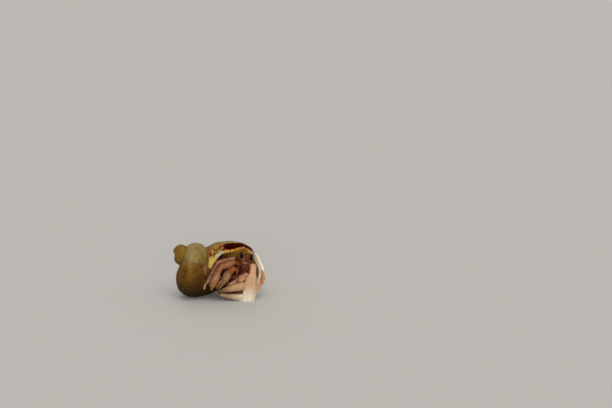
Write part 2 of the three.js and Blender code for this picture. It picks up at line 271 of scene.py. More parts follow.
def on_spiral(turn, angle, fill=1.0, inset=0.0):
    """A point of the wound tube: fill is 0 in its middle and 1 at its wall, less an inset in mm."""
    def rounded(value):
        return math.copysign(abs(value) ** (2 / TUBE_SQUARENESS), value)
    swept = turn - set_back(turn, angle)
    growth = WHORL_GROWTH ** swept
    inwards = inset + drawn_in(turn, angle)
    across = MOUTH_RADIUS + fill * (TUBE_ACROSS - inwards) * rounded(math.cos(angle))
    along = MOUTH_DROP + fill * (TUBE_ALONG - inwards) * rounded(math.sin(angle))
    heading = math.tau * swept + MOUTH_TURN
    outward = AXIS_UP * math.cos(heading) + AXIS_FRONT * math.sin(heading)
    return APEX + AXIS * float(growth * along) + outward * float(growth * max(across, PILLAR_SKIN))


print("the lip's far shoulder is at", [round(x, 1) for x in on_spiral(0, 0)])

# %% [markdown]
# The outer wall is a circle at the lip, extruded back ring by ring to the apex, and each ring is
# laid on the winding.  The inner wall is wound in the same way.  Between them the lip is bevelled to
# a thin edge, with the small chips of age.  Low spiral cords are raised on the outer wall.

# %% Winding the walls of the shell
WALL, CALLUS, CALLUS_MIDDLE, CALLUS_TURNS = 1.6, 3.2, math.radians(284), 0.3
LIP_EDGE, LIP_BEVEL_TURN, BEVEL_RINGS = 0.55, 0.045, 5
RING_SIDES, STEPS_PER_TURN = 72, 72
CAVITY_TURNS = 1.4
CORDS, CORD_HEIGHT = 17, 0.1
CHIP, CHIPPED_TURN = 0.008, 0.03                # turns: how deep the chips are, and how far they reach


def wall_at(turn, angle):
    """How thick the wall is: a callus thickens it under the roof of the mouth."""
    return WALL + CALLUS * towards(CALLUS_MIDDLE, angle, 0.1, 0.9) * smoothly(turn, -CALLUS_TURNS, 0)


def outer_wall(turn, angle):
    cord = CORD_HEIGHT * (0.5 + 0.5 * math.cos(CORDS * angle)) ** 2
    return on_spiral(turn - chip(angle) * smoothly(turn, -CHIPPED_TURN, 0), angle, 1.0, -cord)


def inner_wall(turn, angle):
    return on_spiral(turn, angle, 1.0, wall_at(turn, angle))


def bevel(turn, angle):
    share = (-turn / LIP_BEVEL_TURN) ** 0.8
    inset = LIP_EDGE + (wall_at(-LIP_BEVEL_TURN, angle) - LIP_EDGE) * share
    return on_spiral(turn - chip(angle) * (1 - share), angle, 1.0, inset)


def chip(angle):
    """How far the edge of the lip is broken back, in turns."""
    def broken(scale, layer):
        return noise.noise(Vector((scale * math.cos(angle), scale * math.sin(angle), layer)))
    return CHIP * max(0, broken(3.1, 5.0) + 0.5 * broken(9, 2.0))


def ring(bm, turn, wall):
    """A ring of the tube, from a circle.  Each point remembers its angle round the section."""
    made = bmesh.ops.create_circle(bm, segments=RING_SIDES, radius=1)["verts"]
    for vert in made:
        vert[angle_kept] = math.atan2(vert.co.y, vert.co.x)
        vert.co = wall(turn, vert[angle_kept])
    return list(dict.fromkeys(edge for vert in made for edge in vert.link_edges))


def wind(bm, edges, start, turns, wall):
    """Extrudes a ring back along the winding, and returns the last ring's edges."""
    for step in range(1, round(turns * STEPS_PER_TURN) + 1):
        made = bmesh.ops.extrude_edge_only(bm, edges=edges)["geom"]
        verts = {item for item in made if isinstance(item, bmesh.types.BMVert)}
        for vert in verts:
            vert.co = wall(start - step / STEPS_PER_TURN, vert[angle_kept])
        made_edges = (item for item in made if isinstance(item, bmesh.types.BMEdge))
        edges = [edge for edge in made_edges if set(edge.verts) <= verts]
    return edges


shell_bm = bmesh.new()
angle_kept = shell_bm.verts.layers.float.new("angle")
lip_outside = ring(shell_bm, 0, outer_wall)
edges = lip_outside
for step in range(BEVEL_RINGS + 1):
    next_ring = ring(shell_bm, -LIP_BEVEL_TURN * step / BEVEL_RINGS, bevel)
    bmesh.ops.bridge_loops(shell_bm, edges=edges + next_ring)
    edges = next_ring
cavity_end = wind(shell_bm, edges, -LIP_BEVEL_TURN, CAVITY_TURNS, inner_wall)
apex_end = wind(shell_bm, lip_outside, 0, SPIRE_TURNS, outer_wall)
bmesh.ops.holes_fill(shell_bm, edges=apex_end, sides=0)
bmesh.ops.holes_fill(shell_bm, edges=cavity_end, sides=0)
bmesh.ops.recalc_face_normals(shell_bm, faces=shell_bm.faces)
print("walls of the shell:", len(shell_bm.faces), "faces")

# %% [markdown]
# The columella is the pillar in the middle of the winding: a profile spun about the axis, with a
# cone inside the spire and a post with a round foot.  The worn apex is a ball.

# %% Columella and worn tip
PILLAR_RADIUS, PILLAR_FULL, PILLAR_LENGTH = 2.1, 13.6, 30.5
WORN_TIP, WORN_TIP_DEPTH = 2.35, 3.2

profile = [(0, WORN_TIP_DEPTH), (PILLAR_RADIUS, PILLAR_FULL)]
for lean in range(0, 91, 15):
    radius = PILLAR_RADIUS * math.cos(math.radians(lean))
    rise = PILLAR_RADIUS * math.sin(math.radians(lean))
    profile.append((radius, PILLAR_LENGTH - PILLAR_RADIUS + rise))
stations = [shell_bm.verts.new(APEX + AXIS_UP * r + AXIS * a) for r, a in profile]
lines = [shell_bm.edges.new(pair) for pair in zip(stations, stations[1:])]
bmesh.ops.spin(
    shell_bm, geom=stations + lines, cent=APEX, axis=AXIS, angle=math.tau, steps=36, use_merge=True)
tip_place = Matrix.Translation(APEX + AXIS * WORN_TIP_DEPTH)
bmesh.ops.create_icosphere(shell_bm, subdivisions=3, radius=WORN_TIP, matrix=tip_place)
print("shell with its columella:", len(shell_bm.faces), "faces")

# %% [markdown]
# Where the whorls overlap, the wall lies inside itself.  A voxel remesh keeps only the outside of
# such a form and gives it even, square faces.  The crab's skin and its hands are made so too.

# %% Remeshing
def remeshed(bm, voxel, smoothing):
    """A bmesh with only the outer skin of what was drawn, in even faces of about one voxel."""
    drawn = in_scene("drawn", mesh_of(bm, "drawn"))
    remesh = drawn.modifiers.new("remesh", "REMESH")
    remesh.mode = "VOXEL"
    remesh.voxel_size = voxel
    remesh.use_smooth_shade = True
    finished = drawn.evaluated_get(bpy.context.evaluated_depsgraph_get()).to_mesh()
    clean = bmesh.new()
    clean.from_mesh(finished)
    bpy.data.objects.remove(drawn)
    for _ in range(smoothing):
        bmesh.ops.smooth_vert(
            clean, verts=clean.verts, factor=0.5, use_axis_x=True, use_axis_y=True, use_axis_z=True)
    smooth_faces(clean)
    return clean


SHELL_VOXEL = 0.236
shell_bm = remeshed(shell_bm, SHELL_VOXEL, 2)
print("shell after remeshing:", len(shell_bm.faces), "faces")

# %% [markdown]
# Lime and wear have half filled the sutures of an old shell.  Only the hollow places of the spire
# are raised here: each of their points moves out along its normal towards the middle of its
# neighbours, again and again, and the rounded parts stay as they were.

# %% Worn sutures
HOLLOW = 0.015                  # mm that a point of a suture lies under the middle of its neighbours
SPREAD_STEPS, SPREAD_SHARE = 30, 5
FILL_STEPS, FILL_RATE = 261, 0.8
SPIRE_FROM, SPIRE_WHOLLY = 5, 7                 # mm left of the drawing's middle

shell_bm.normal_update()
places = points_of(shell_bm)
normals = np.array([vert.normal for vert in shell_bm.verts])
one, other = np.array([[vert.index for vert in edge.verts] for edge in shell_bm.edges]).T
joined = np.bincount(one, minlength=len(places)) + np.bincount(other, minlength=len(places))


def neighbours_mean(values):
    """For each point of the shell, the mean of a value over the points it is joined to."""
    total = np.bincount(one, values[other], len(values)) + np.bincount(other, values[one], len(values))
    return total / joined


def below_neighbours():
    """How far each point lies under the middle of its neighbours, along its normal."""
    around = np.stack([neighbours_mean(places[:, axis]) for axis in range(3)], axis=1)
    return np.maximum(((around - places) * normals).sum(axis=1), 0)


hollow = (below_neighbours() > HOLLOW).astype(float)
for _ in range(SPREAD_STEPS):
    hollow = neighbours_mean(hollow)
hollow = np.clip(hollow * SPREAD_SHARE, 0, 1) * smoothly(-places[:, 0], SPIRE_FROM, SPIRE_WHOLLY)
for _ in range(FILL_STEPS):
    places += normals * (below_neighbours() * hollow * FILL_RATE)[:, None]
moved = np.linalg.norm(places - points_of(shell_bm), axis=1)
for vert, place in zip(shell_bm.verts, places):
    vert.co = place
print("sutures filled by up to", round(float(moved.max()), 2), "mm at", int((moved > 0.1).sum()), "points")

# %% [markdown]
# A pattern that follows the shell needs the winding solved backwards: from a point to its turn, its
# angle round the tube, how far it lies under the outer surface, and how near it is to the whorl
# behind, where the suture is.

# %% Where a point is on the shell
WHORLS_TRIED, REFINEMENTS = 5, 3
LATEST_TURN = 0.01              # just past the lip
FAR_OFF = 9.0                   # a fill that stands for no whorl behind
EMPTY_FILL, OUTER_FILL = 0.92, 1.04             # inside the air ahead of the lip, and just off the wall
INNER_FROM, INNER_WHOLLY = 0.15, 0.32           # mm under the outer surface
SUTURE_WIDTH = 0.08             # as a fill


def squared(value):
    """The opposite of the rounding in the section of the tube."""
    return np.sign(value) * np.abs(value) ** (TUBE_SQUARENESS / 2)


def places_on_shell(points):
    """Turn, angle, depth under the surface, fill in the whorl behind, and radius, for drawn points."""
    offset = points - np.array(APEX)
    along, up, front = (offset @ np.array(v) for v in (AXIS, AXIS_UP, AXIS_FRONT))
    radius = np.hypot(up, front)
    heading = (np.arctan2(front, up) - MOUTH_TURN) / math.tau
    latest = heading - np.ceil(heading - LATEST_TURN)
    tried = []
    for whorl in range(WHORLS_TRIED):
        swept = latest - whorl
        turn, angle = swept, np.zeros(len(points))
        for _ in range(REFINEMENTS):
            growth = WHORL_GROWTH ** swept
            across = (radius / growth - MOUTH_RADIUS) / (TUBE_ACROSS - drawn_in(turn, angle))
            down = (along / growth - MOUTH_DROP) / (TUBE_ALONG - drawn_in(turn, angle))
            angle = np.arctan2(squared(down), squared(across))
            turn = swept + set_back(turn, angle)
        fill = np.abs(across) ** TUBE_SQUARENESS + np.abs(down) ** TUBE_SQUARENESS
        fill = fill ** (1 / TUBE_SQUARENESS)
        tried.append((turn, angle, fill, (1 - fill) * TUBE_ALONG * growth))
    turn, angle, _, under = tried[-1]
    behind = np.full(len(points), FAR_OFF)
    for older, newer in zip(reversed(tried), reversed(tried[:-1])):
        newer_turn, newer_angle, newer_fill, newer_under = newer
        ahead_of_lip = (newer_turn > 0) & (newer_fill < EMPTY_FILL)
        mine = (newer_fill < OUTER_FILL) & ~ahead_of_lip
        behind = np.where(mine, older[2], behind)
        turn = np.where(mine, newer_turn, turn)
        angle = np.where(mine, newer_angle, angle)
        under = np.where(mine, newer_under, under)
    return turn, angle, under, behind, radius


shell_points = points_of(shell_bm)
turn, angle, under, behind, radius = places_on_shell(shell_points)
inside = smoothly(under, INNER_FROM, INNER_WHOLLY) * (turn > -CAVITY_TURNS - 0.1)
suture = np.exp(-((behind - 1) / SUTURE_WIDTH) ** 2) * (1 - inside)
lip_depth = -turn * math.tau * radius           # mm back from the lip
print("turns from", round(float(turn.min()), 2), "to", round(float(turn.max()), 2))

# %% [markdown]
# A shell that has been carried about for years has growth rests across its whorls, lumps and pits.
# They are real relief: noise moves each point along its normal, and less on the polished inside.

# %% Growth rests, lumps and pits
GROWTH_REST, LUMP, PIT = 0.1, 0.15, 0.08        # mm
REST_SCALE, REST_WANDER, LUMP_SCALE, PIT_SCALE = 46, 0.4, 0.42, 1.5
POLISHED_AWAY = 0.85            # the share of the relief that the inner wall has lost

shell_bm.normal_update()
for index, vert in enumerate(shell_bm.verts):
    lump = LUMP * noise.noise(vert.co * LUMP_SCALE) + PIT * noise.noise(vert.co * PIT_SCALE)
    round_tube = REST_WANDER * math.cos(angle[index])
    rest = GROWTH_REST * noise.noise(Vector((turn[index] * REST_SCALE, round_tube, 3)))
    size = WHORL_GROWTH ** (turn[index] * 0.5)
    vert.co += vert.normal * float((lump + rest * size) * (1 - POLISHED_AWAY * inside[index]))
low = min(vert.co.z for vert in shell_bm.verts)
stop_at_floor(shell_bm)
print("lowest point was", round(low, 2), "mm; the shell now rests at", FLOOR)

# %% [markdown]
# The shell is one piece on the real animal, and one here.  Its places on the winding are kept as
# named values at its points, where the finish can read them.

# %% Shell in the frame
turban_shell = set_down(shell_bm, "turban_shell")
winding = np.stack([turn, np.cos(angle), np.sin(angle)], axis=1)
store(turban_shell, winding=winding, turn=turn, inside=inside, suture=suture)
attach(turban_shell, "root")
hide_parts("shell")
print("turban_shell:", len(turban_shell.data.polygons), "faces")

# %% [markdown]
# The colours of the shell are zones.  Outside it is olive and brown, greyer high up and darker brown
# low down, partly its own colour and partly painted shade, with darker sutures, an ochre tip and one
# chalky patch; beside the mouth the outside is dark brown, partly stain and partly painted shade.  The
# lip has a pale margin.  Under the roof comes a band of maroon blotches that breaks up into amber,
# with lemon and pearl beside it and flecks on the margin; deeper in, the inner wall is dark maroon, a
# painted shade.  The far side of the lip is cream, with a gold line of painted shade inside it and a
# rust patch below.
#
# A zone is measured on the winding: in degrees round the tube, where 0 is the far shoulder of the
# lip and -70 its roof; in mm back from the lip; and on the inner wall as `back`, which is 0 at the
# lip's edge and 1 at the inner end of the bevel.  The chalk and the stain and shade by the mouth are
# balls round a place.

# %% Zones of colour
def zone(values, low, high, fade):
    """1 between low and high, fading out over `fade` on each side."""
    return smoothly(values, low - fade, low + fade) * (1 - smoothly(values, high - fade, high + fade))


def within(values, low, high):
    """1 up to low, and 0 from high on."""
    return 1 - smoothly(values, low, high)


def from_place(place):
    """How far each point of the shell is from a drawn place."""
    return np.linalg.norm(shell_points - np.array(place), axis=1)


CHALK_MIDDLE, MOUTH_MIDDLE = (-4.8, -9.0, 12.3), (4.5, -5.5, 6.5)

degrees = np.degrees(angle)
back = -turn / LIP_BEVEL_TURN
outside = 1 - inside
band_end = 0.5 - 0.32 * smoothly(degrees, -40, -14)         # where the dark band ends, as `back`
zones = {
    "margin": within(lip_depth, 0.2, 2.6) * (1 - smoothly(back, 0.04, 0.12) * inside),
    "pale_side": zone(degrees, 16, 150, 14),
    "flecked": zone(degrees, -102, -58, 9) * np.maximum(
        within(lip_depth, 0.8, 4.6) * outside, within(back, 0.25, 0.7) * inside),
    "blotch": zone(degrees, -62, 12, 8) * np.maximum(
        within(lip_depth, 0.3, 0.8) * outside, within(back - band_end, -0.1, 0.12) * inside),
    "amber": zone(degrees, -66, 40, 16) * zone(back, 0.2, 9, 0.15) * inside,
    "lemon": zone(degrees, -138, -91, 12) * zone(back, 0.05, 5, 0.2) * inside,
    # A gold line along the inner margin of the far lip: painted shade where the wall turns in.
    "gold_shade_line": zone(degrees, 14, 100, 10) * zone(back, 0.85, 1.45, 0.15) * inside,
    "cream_lip": zone(degrees, 12, 150, 8) * within(back, 0.8, 1.05) * inside,
    "rust": zone(degrees, 53, 90, 10) * within(back, 0.0, 0.95) * within(lip_depth, 4, 6),
    "chalk": within(from_place(CHALK_MIDDLE), 1.0, 4.0) * outside,
    # Dark brown on the outside by the mouth: partly stain, partly painted shade.
    "stain_and_shade_by_mouth": within(from_place(MOUTH_MIDDLE), 5.0, 9.0) * outside,
    # Dark maroon deep in the cavity, above and behind the legs: a painted shade.
    "deep": smoothly(back, 2.5, 6.5) * inside,
}
store(turban_shell, **zones)
print("zones:", ", ".join(f"{name} {values.mean():.3f}" for name, values in zones.items()))

# %% [markdown]
# The walls of an old shell are stained in layers, and a few layers here are painted shade.  So each
# wall starts as one colour, and zones are laid over it in turn, most with an edge that noise has
# broken.

# %% Colours of the walls
def broken_mask(tree, share, noise_value, amount, low, high):
    """A zone whose edge wanders with a noise pattern.  Where the zone has no share, nothing shows."""
    wander = maths(tree, "MULTIPLY_ADD", maths(tree, "SUBTRACT", noise_value, 0.5), amount, 1.0)
    return mask(tree, maths(tree, "MULTIPLY", share, wander), low, high)


def outer_colour(tree, share, place, winding, height, specks, growth_lines):
    clouds = mottle(tree, place, 150, detail=4)
    bands = mottle(tree, winding, 1, (7, 7, 7), 4)
    patches = mottle(tree, place, 330, detail=4)
    olive = blend(tree, mask(tree, clouds, 0.36, 0.64), "#65520f", "#837044")
    umber = blend(tree, mask(tree, patches, 0.34, 0.66), "#664404", "#422802")
    knob = blend(tree, mask(tree, bands, 0.4, 0.6), "#74520c", "#5c480e")
    # Darker brown low down: partly the shell's own colour, partly painted shade under the shell.
    low_down = maths(tree, "ADD", mask(tree, height, 0.019, 0.008), maths(tree, "MULTIPLY", patches, 0.7))
    low_down = maths(tree, "ADD", low_down, maths(tree, "MULTIPLY", bands, 0.5))
    return coats(
        tree, olive,
        (mask(tree, low_down, 0.62, 1.15), 1, umber),
        # Almost black within 10 mm of the floor: partly the shell's own colour, partly painted shade.
        (mask(tree, height, 0.0105, 0.001), 1, "#2c1802"),
        (mask(tree, share["turn"], -1.25, -1.9), 1, knob),
        (mask(tree, growth_lines, 0.5, 0.8), 0.35, "#3a2604"),
        (mask(tree, patches, 0.58, 0.74), 0.35, "#876a3c"),
        (broken_mask(tree, share["chalk"], patches, 2.6, 0.25, 0.8), 1, "#8f6440"),
        (mask(tree, specks, 0.64, 0.8), 0.5, "#968a66"),
        (share["suture"], 0.6, "#1e1202"),
        # Dark brown by the mouth: partly stain, partly painted shade.
        (share["stain_and_shade_by_mouth"], 1, "#221004"))


def inner_colour(tree, share, winding, flecks, shreds):
    pearl = blend(tree, mask(tree, mottle(tree, winding, 1, (9, 4, 4)), 0.42, 0.6), "#e6d2a8", "#c4c8a8")
    gold = blend(tree, mask(tree, flecks, 0.46, 0.62), "#f4b648", "#b4500e")
    return coats(
        tree, pearl,
        (broken_mask(tree, share["lemon"], shreds, 2.4, 0.3, 0.85), 1, "#cfae52"),
        (broken_mask(tree, share["amber"], shreds, 3.0, 0.05, 0.9), 1, gold),
        # Dark maroon deep in the cavity: painted shade.
        (share["deep"], 1, "#3c160c"),
        (share["cream_lip"], 1, "#f0e2cc"),
        # The gold line inside the cream lip is painted shade.
        (broken_mask(tree, share["gold_shade_line"], flecks, 0.6, 0.3, 0.7), 1, "#9a6816"))


print("the walls have", len(zones), "zones to be painted in")

# %% [markdown]
# The colours of the lip run over both walls, so they come last.  The outer surface is chalky, with
# fine growth lines that follow the winding as relief.  The inner wall is polished.

# %% The lip and the shell's finish
def lip_colour(tree, share, colour, place, winding):
    """The margin of the lip over the colour of the walls: pale, flecked, rusty and dark places."""
    streaks = mottle(tree, winding, 1, (110, 7, 7), 3)
    ragged = mottle(tree, place, 620, detail=4)
    tongues = mottle(tree, winding, 1, (5, 22, 22), 4)
    margin = blend(tree, share["pale_side"], "#a9823e", "#e4d2b8")
    fleck = blend(tree, mask(tree, streaks, 0.38, 0.58), "#a97c34", "#6a300c")
    rust = blend(tree, mask(tree, mottle(tree, place, 1100), 0.52, 0.64), "#b67c40", "#6e3a14")
    return coats(
        tree, colour,
        (broken_mask(tree, share["margin"], ragged, 2.0, 0.25, 0.75), 1, margin),
        (broken_mask(tree, share["flecked"], streaks, 3.0, 0.15, 0.8), 1, fleck),
        (broken_mask(tree, share["rust"], ragged, 2.2, 0.15, 0.7), 0.9, rust),
        (broken_mask(tree, share["blotch"], tongues, 3.4, 0.3, 0.5), 1, "#7c2404"),
        (broken_mask(tree, share["blotch"], tongues, 3.4, 0.42, 0.72), 1, "#2a0500"))


def shell_finish():
    material, tree, shader, place = start_material("worn_shell", IOR=1.45, Specular_IOR_Level=0.13)
    winding = attribute(tree, "winding").outputs["Vector"]
    share = {name: attribute(tree, name).outputs["Fac"] for name in ("turn", "inside", "suture", *zones)}
    height = add(tree, "SeparateXYZ", {"Vector": place}).outputs["Z"]
    growth_lines = mottle(tree, winding, 1, (85, 3, 3), 4)
    specks = mottle(tree, place, 1500, detail=2)
    flecks = mottle(tree, winding, 1, (26, 14, 14), 3)
    shreds = mottle(tree, winding, 1, (9, 15, 15), 3)
    outer = outer_colour(tree, share, place, winding, height, specks, growth_lines)
    colour = blend(tree, share["inside"], outer, inner_colour(tree, share, winding, flecks, shreds))
    colour = lip_colour(tree, share, colour, place, winding)
    polish = mask(tree, share["inside"], 0.2, 0.9)
    chalky = maths(tree, "MULTIPLY_ADD", specks, 0.3, 0.5)
    roughness = maths(tree, "MULTIPLY_ADD", polish, -0.28, chalky)
    relief = maths(tree, "ADD", specks, growth_lines)
    relief = maths(tree, "MULTIPLY", relief, maths(tree, "SUBTRACT", 1.06, polish))
    finish_material(tree, shader, colour, roughness, relief, 0.5, 0.12)
    return material


turban_shell.data.materials.append(shell_finish())
print("the shell is painted")

# %% [markdown]
# The crab is made of rounded lengths of skin.  One form serves for all of them: a ball stretched
# between two points, blunt or tapering, flattened, squared or bowed, with a keel on its `side` and a
# collar near its far end where the next length tucks in.  Each is written once, with its colours,
# and the model, its granules and its paint are all made from that list.

# %% Lengths of skin
UP, RIGHT = Vector((0, 0, 1)), Vector((1, 0, 0))
COLLAR_AT, COLLAR_WIDTH, RING_HEIGHT = 0.86, 0.07, 0.07     # shares of the length, and of its width
GIRTHS_TRIED, LEAST_GIRTH = 65, 0.02


def paint(tint, back, far, **more):
    """The colours of a length: its face, its back, its far end, and whatever else it has."""
    return {"tint": tint, "back": back, "far": far, **more}


class Length:
    """One rounded length, from one drawn point to another, with its colours."""

    def __init__(self, start, end, thick, deep=None, taper=1.0, blunt=0.6, sag=0.0, side=FRONT, collar=0.0,
                 keel=0.0, square=0.0, bands=0, tint="#000000", back=None, far=None, tip=None, under=None,
                 spots=1.0, far_from=0.55):
        self.start = Vector(start)
        self.thick, self.deep = thick, deep or thick
        self.taper, self.blunt, self.sag = taper, blunt, sag
        self.collar, self.keel, self.square, self.bands = collar, keel, square, bands
        along = Vector(end) - self.start
        self.heading, self.span = along.normalized(), along.length
        self.out = (side - self.heading * side.dot(self.heading)).normalized()
        self.across = self.heading.cross(self.out)
        paints = (dye(code)[:3] if code else None for code in (tint, far, back, under, tip))
        self.tint, self.far, self.back, self.under, self.tip = paints
        self.spots, self.far_from = spots, far_from

    def girth(self, part):
        """The share of the full width at a part of the way along."""
        round_ends = max(1 - (2 * part - 1) ** 2, 0) ** (self.blunt / 2)
        ridge = 1 + self.collar * math.exp(-((part - COLLAR_AT) / COLLAR_WIDTH) ** 2)
        ringed = 1 + RING_HEIGHT * math.cos(math.tau * self.bands * part) if self.bands else 1
        return 0.5 * round_ends * ridge * ringed * (1 + (self.taper - 1) * part)

    def point(self, part, turned, outward=1.0):
        """A point of the surface: `turned` is the angle round, and 90 degrees is the out side."""
        x, y = math.cos(turned), math.sin(turned)
        squarer = (abs(x) ** 4 + abs(y) ** 4) ** -0.25
        girth = self.girth(part) * outward * (1 + self.keel * max(y, 0) ** 5)
        girth *= 1 + self.square * (squarer - 1)
        middle = self.start + self.heading * part * self.span
        middle += self.out * self.sag * math.sin(math.pi * part)
        return middle + self.across * x * girth * self.thick + self.out * y * girth * self.deep

    def normal(self, part, turned):
        return (self.point(part, turned, 1.1) - self.point(part, turned)).normalized()

    def model(self, bm, sides=24, rings=18):
        rings = max(rings, 8 * self.bands)
        for vert in bmesh.ops.create_uvsphere(bm, u_segments=sides, v_segments=rings, radius=1)["verts"]:
            part, turned = (vert.co.z + 1) / 2, math.atan2(vert.co.y, vert.co.x)
            vert.co = self.point(part, turned)

    def reach(self, points):
        """How far each point is off this length's surface, and where along and round it is."""
        offset = points - np.array(self.start)
        part = np.clip(offset @ np.array(self.heading) / self.span, 0, 1)
        bow = np.outer(np.sin(np.pi * part) * self.sag, np.array(self.out))
        rest = offset - np.outer(part * self.span, np.array(self.heading)) - bow
        x, y = rest @ np.array(self.across), rest @ np.array(self.out)
        steps = np.linspace(0, 1, GIRTHS_TRIED)
        girth = np.interp(part, steps, [self.girth(step) for step in steps]) + LEAST_GIRTH
        turned = np.arctan2(y / self.deep, x / self.thick)
        past_ends = np.abs(offset @ np.array(self.heading) - part * self.span)
        spread = np.hypot(x / self.thick, y / self.deep) / girth - 1
        return spread * girth * min(self.thick, self.deep) + past_ends, part, turned


print("a plain length has", Length((0, 0, 0), (9, 0, 0), 3).girth(0.5), "of its width on each side")

# %% [markdown]
# A walking leg has four visible lengths: merus, carpus, propodus and the dactyl, which ends in a
# dark horny claw.  Its upper edge is keeled and darker.  The points are the joints of the solids,
# and neighbours overrun a joint by a share of their width, so that the limb bends without a gap.

# %% Walking legs
OVERRUN = 0.35
TAWNY = paint("#a47250", "#4a2812", "#9c704e", spots=0.7)
ROSE_BROWN = paint("#96643f", "#6a3e26", "#8a5a34", spots=0.7)
MAUVE = paint("#b88564", "#945a42", "#643418", spots=0.5)
DUSKY = paint("#84502e", "#5a3018", "#4a260f")
HORN = "#2c1a10"


def jointed(forms, joints, colours, side=UP):
    """The lengths of a limb, through its joints, from the body outwards.  A tip overruns nothing."""
    points = [Vector(joint) for joint in joints]
    made = []
    for start, end, form in zip(points, points[1:], forms):
        overrun = (end - start).normalized() * form["thick"] * OVERRUN
        if made:
            start = start - overrun
        if "tip" not in form:
            end = end + overrun
        made.append(Length(start, end, side=side, **form, **colours))
    return made


def leg(thick, hand, joints, colours):
    """The four lengths of a walking leg: `hand` is the width of the third."""
    upper = {"deep": thick * 1.2, "collar": 0.06, "keel": 0.06, "blunt": 0.5}
    lower = {"deep": hand * 1.1, "collar": 0.05, "keel": 0.05, "blunt": 0.5}
    forms = [
        {"thick": thick, "square": 0.5, **upper},
        {"thick": thick * 1.05, "square": 0.4, **upper},
        {"thick": hand, "square": 0.5, "taper": 0.8, **lower},
        {"thick": hand * 0.75, "taper": 0.3, "blunt": 0.7, "sag": 0.25, "tip": HORN},
    ]
    return jointed(forms, joints, colours)


legs = {
    "right_rear_leg": leg(1.5, 2.0, [
        (6.0, -3.4, 14.8), (-0.4, -6.6, 13.9), (-2.0, -7.8, 11.4), (-4.2, -9.6, 7.3), (-5.3, -9.2, 3.9)],
        TAWNY),
    "right_front_leg": leg(2.2, 3.0, [
        (6.0, -6.0, 14.0), (0.4, -9.0, 12.7), (-0.6, -10.2, 10.5), (-2.2, -11.2, 6.4), (-2.5, -10.8, 4.3)],
        ROSE_BROWN),
    "left_front_leg": leg(2.2, 2.8, [
        (11.3, -2.4, 9.9), (11.0, -4.9, 10.7), (10.2, -6.2, 9.5), (6.7, -6.7, 6.9), (2.2, -8.0, 4.9)],
        MAUVE),
    "left_rear_leg": leg(1.5, 1.5, [
        (10.6, -1.2, 8.0), (11.8, -3.4, 7.8), (11.3, -4.5, 6.3), (8.6, -5.0, 4.9), (5.4, -5.4, 4.6)],
        DUSKY),
}
walking_lengths = sum(legs.values(), [])
print(len(legs), "walking legs, of", len(walking_lengths), "lengths")

# %% [markdown]
# The arm that carries a pincer has two lengths, merus and carpus.  They are rounder than a leg's and
# have no keel, so the same function makes them from simpler forms.

# %% Arms of the pincers
CREAM = paint("#cca07c", "#bf9070", "#c69874", spots=0.15)
OCHRE = paint("#945a28", "#643618", "#a0561c", spots=0.5)


def arm(widths, joints, colours, side):
    return jointed([{"thick": thick, "collar": 0.06} for thick in widths], joints, colours, side)


arms = {
    "left_arm": arm((1.9, 2.3), [(12.9, -3.6, 11.6), (12.5, -6.4, 12.6), (12.3, -8.2, 8.8)], CREAM, FRONT),
    "right_arm": arm((1.4, 2.5), [(6.9, -6.9, 11.0), (5.2, -8.5, 12.1), (3.8, -10.4, 11.0)], OCHRE, UP),
}
arm_lengths = sum(arms.values(), [])
print(len(arms), "arms, of", len(arm_lengths), "lengths")

# %% [markdown]
# The face is a crowd of small jointed parts.  Two stalks carry the eyes, with a scale at the foot of
# each.  Two pairs of feelers stand between and beside them, and the outer jaws hang down like folded
# hands.  Inside the mouth everything is a deep wine red, partly its own colour and partly painted
# shade of the hollow behind the face.

# %% Face
# Wine red: partly the colour of the mouthparts, partly painted shade of the hollow behind the face.
WINE = paint("#540702", "#320401", "#6a1404", spots=0.3)
RUST = paint("#84360a", "#521a04", "#8c4412", spots=0.4)
STALK = paint("#6e4c34", "#50301c", "#b0a08c", spots=0.3)
STALK_ENDS = (((8.95, -6.2, 13.2), (8.42, -7.2, 15.75)), ((10.7, -6.2, 13.0), (11.75, -7.25, 14.9)))

face = [
    Length((9.2, -5.6, 13.9), (10.3, -7.2, 13.5), 1.5, 1.0, side=UP, **RUST),       # brow
    Length((9.6, -5.8, 13.2), (9.75, -7.4, 12.0), 0.9, **RUST),                     # snout
    Length((9.3, -6.5, 12.9), (9.05, -7.7, 11.9), 0.6, collar=0.1, **RUST),         # antennules
    Length((9.05, -7.6, 12.1), (8.9, -8.0, 11.1), 0.52, bands=3, **RUST),
    Length((10.1, -6.5, 12.9), (10.1, -7.7, 11.9), 0.6, collar=0.1, **RUST),
    Length((10.1, -7.6, 12.1), (10.0, -8.0, 11.0), 0.52, bands=3, **RUST),
    Length((8.2, -6.4, 13.1), (7.1, -8.2, 12.8), 0.85, collar=0.1, **RUST),         # antennae
    Length((7.2, -8.1, 12.9), (6.2, -8.9, 8.8), 0.58, blunt=0.3, sag=0.3, bands=9, **RUST),
    Length((10.6, -6.4, 12.9), (11.0, -8.2, 12.3), 0.85, collar=0.1, **RUST),
    Length((11.0, -8.1, 12.4), (8.2, -8.8, 9.8), 0.58, blunt=0.3, sag=0.3, bands=8, **RUST),
]
for foot, eye in STALK_ENDS:
    face.append(Length(foot, eye, 0.95, taper=1.05, blunt=0.35, **STALK))
    scale_end = Vector(foot).lerp(Vector(eye), 0.38) + FRONT * 0.35
    face.append(Length(Vector(foot) + FRONT * 0.4, scale_end, 0.62, taper=0.4, **RUST))
for x, lean in ((7.5, -0.9), (8.4, -0.5), (9.4, 0.1), (10.3, 0.5)):                 # outer jaws
    face.append(Length((x + 0.3, -5.9, 12.4), (x + lean * 0.3, -7.1, 10.7), 0.95, collar=0.08, **WINE))
    face.append(Length((x + lean * 0.3, -7.0, 10.9), (x + lean * 0.6, -7.0, 9.4), 0.75, taper=0.7, **WINE))
print(len(face), "parts of the face")

